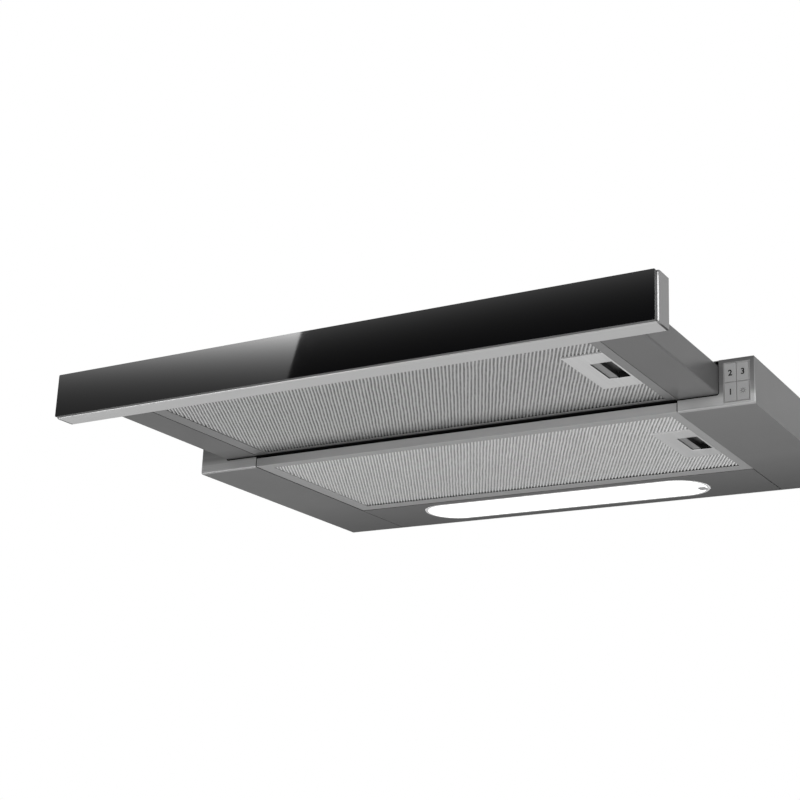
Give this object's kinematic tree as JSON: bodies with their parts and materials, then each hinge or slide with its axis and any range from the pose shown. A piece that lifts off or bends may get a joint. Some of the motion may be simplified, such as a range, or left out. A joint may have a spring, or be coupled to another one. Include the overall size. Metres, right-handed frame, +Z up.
{
  "type": "pull out range hood",
  "caption": "Pull out range hood for a wall cabinet: black glass front on a drawer with a ribbed filter, a fixed filter and lamp behind it, push buttons and a blower tower.",
  "frame": {"origin": "on the underside, in the middle of the hood's width and of its pulled out depth", "axes": "+X to the right along the front panel, +Y back towards the wall, +Z up"},
  "size_m": [0.598, 0.5074, 0.1898],
  "materials": {
    "brushed_steel": "fine brushed",
    "grey_paint": "satin",
    "zinc_sheet": "satin",
    "filter_mesh": "knurled",
    "filter_frame": "satin",
    "latch_metal": "satin",
    "black_glass": "polished",
    "black_plastic": "satin",
    "grey_plastic": "satin",
    "button_grey": "satin",
    "lamp_diffuser": "opal",
    "white_board": "matte",
    "spring_steel": "bright",
    "bumper_rubber": "matte"
  },
  "bodies": {
    "body": {"side_channel_left": "grey_paint", "side_channel_right": "grey_paint", "fascia_left": "brushed_steel", "fascia_right": "brushed_steel", "top_plate": "zinc_sheet", "back_wall": "zinc_sheet", "rail_brackets": "zinc_sheet", "rails_fixed": "spring_steel", "fixed_filter_frame": "filter_frame", "fixed_filter_mesh": "filter_mesh", "fixed_latch_housing": "latch_metal", "fixed_latch_spring": "spring_steel", "lamp_panel": "grey_paint", "lamp_lens": "lamp_diffuser", "lamp_housing": "grey_plastic", "led_board": "white_board", "lamp_driver": "black_plastic", "tower_casing": "zinc_sheet", "tower_lid": "zinc_sheet", "tower_screws": "spring_steel", "scroll_base": "black_plastic", "scroll_cover": "black_plastic", "motor_housing": "zinc_sheet", "capacitor": "white_board", "terminal_box": "grey_plastic", "cable_gland": "black_plastic", "outlet_collar": "black_plastic", "flap_pin": "spring_steel", "button_bezel": "button_grey", "switch_block": "black_plastic", "button_springs": "spring_steel", "reed_switch": "black_plastic"},
    "drawer": {"drawer_side_left": "grey_paint", "drawer_side_right": "grey_paint", "drawer_front_bar": "zinc_sheet", "drawer_rear_bar": "zinc_sheet", "drawer_cover": "zinc_sheet", "drawer_magnet": "black_plastic", "drawer_filter_frame": "filter_frame", "drawer_filter_mesh": "filter_mesh", "drawer_latch_housing": "latch_metal", "drawer_latch_spring": "spring_steel", "panel_profile": "brushed_steel", "panel_end_caps": "brushed_steel", "panel_glass": "black_glass", "panel_screws": "spring_steel", "rails_inner": "spring_steel", "bumpers": "bumper_rubber"},
    "rail_left": {"rail_mid_left": "spring_steel"},
    "rail_right": {"rail_mid_right": "spring_steel"},
    "fixed_latch": {"fixed_latch_slider": "latch_metal"},
    "drawer_latch": {"drawer_latch_slider": "latch_metal"},
    "fan": {"impeller": "grey_plastic", "rotor_shaft": "spring_steel"},
    "front_flap": {"flap_front": "grey_plastic"},
    "rear_flap": {"flap_rear": "grey_plastic"},
    "button_one": {"button_one": "button_grey"},
    "button_two": {"button_two": "button_grey"},
    "button_three": {"button_three": "button_grey"},
    "button_light": {"button_light": "button_grey"}
  },
  "joints": [
    {"name": "drawer_slide", "type": "slide", "parent": "body", "child": "drawer", "axis": [0, 1, 0], "range_m": [0, 0.192]},
    {"name": "rail_left_slide", "type": "slide", "parent": "body", "child": "rail_left", "axis": [0, 1, 0], "range_m": [0, 0.096]},
    {"name": "rail_right_slide", "type": "slide", "parent": "body", "child": "rail_right", "axis": [0, 1, 0], "range_m": [0, 0.096]},
    {"name": "fixed_latch_slide", "type": "slide", "parent": "body", "child": "fixed_latch", "axis": [-1, 0, 0], "range_m": [0, 0.0065], "stiffness_N_per_m": 400, "deforming": ["fixed_latch_spring"]},
    {"name": "drawer_latch_slide", "type": "slide", "parent": "drawer", "child": "drawer_latch", "axis": [-1, 0, 0], "range_m": [0, 0.0065], "stiffness_N_per_m": 400, "deforming": ["drawer_latch_spring"]},
    {"name": "fan_spin", "type": "hinge", "parent": "body", "child": "fan", "pos_m": [0.05749, 0.15175, 0.1], "axis": [0, 0, 1], "continuous": true},
    {"name": "front_flap_hinge", "type": "hinge", "parent": "body", "child": "front_flap", "pos_m": [-0.07868, 0.15175, 0.1718], "axis": [-1, 0, 0], "range_deg": [0, 75]},
    {"name": "rear_flap_hinge", "type": "hinge", "parent": "body", "child": "rear_flap", "pos_m": [-0.07868, 0.15175, 0.1718], "axis": [1, 0, 0], "range_deg": [0, 75]},
    {"name": "button_one_push", "type": "slide", "parent": "body", "child": "button_one", "axis": [0, 1, 0], "range_m": [0, 0.0025], "stiffness_N_per_m": 500, "deforming": ["button_springs"]},
    {"name": "button_two_push", "type": "slide", "parent": "body", "child": "button_two", "axis": [0, 1, 0], "range_m": [0, 0.0025], "stiffness_N_per_m": 500, "deforming": ["button_springs"]},
    {"name": "button_three_push", "type": "slide", "parent": "body", "child": "button_three", "axis": [0, 1, 0], "range_m": [0, 0.0025], "stiffness_N_per_m": 500, "deforming": ["button_springs"]},
    {"name": "button_light_push", "type": "slide", "parent": "body", "child": "button_light", "axis": [0, 1, 0], "range_m": [0, 0.0025], "stiffness_N_per_m": 500, "deforming": ["button_springs"]}
  ],
  "couplings": [
    {"joint": "rail_left_slide", "follows": "drawer_slide", "ratio": 0.5},
    {"joint": "rail_right_slide", "follows": "drawer_slide", "ratio": 0.5}
  ]
}
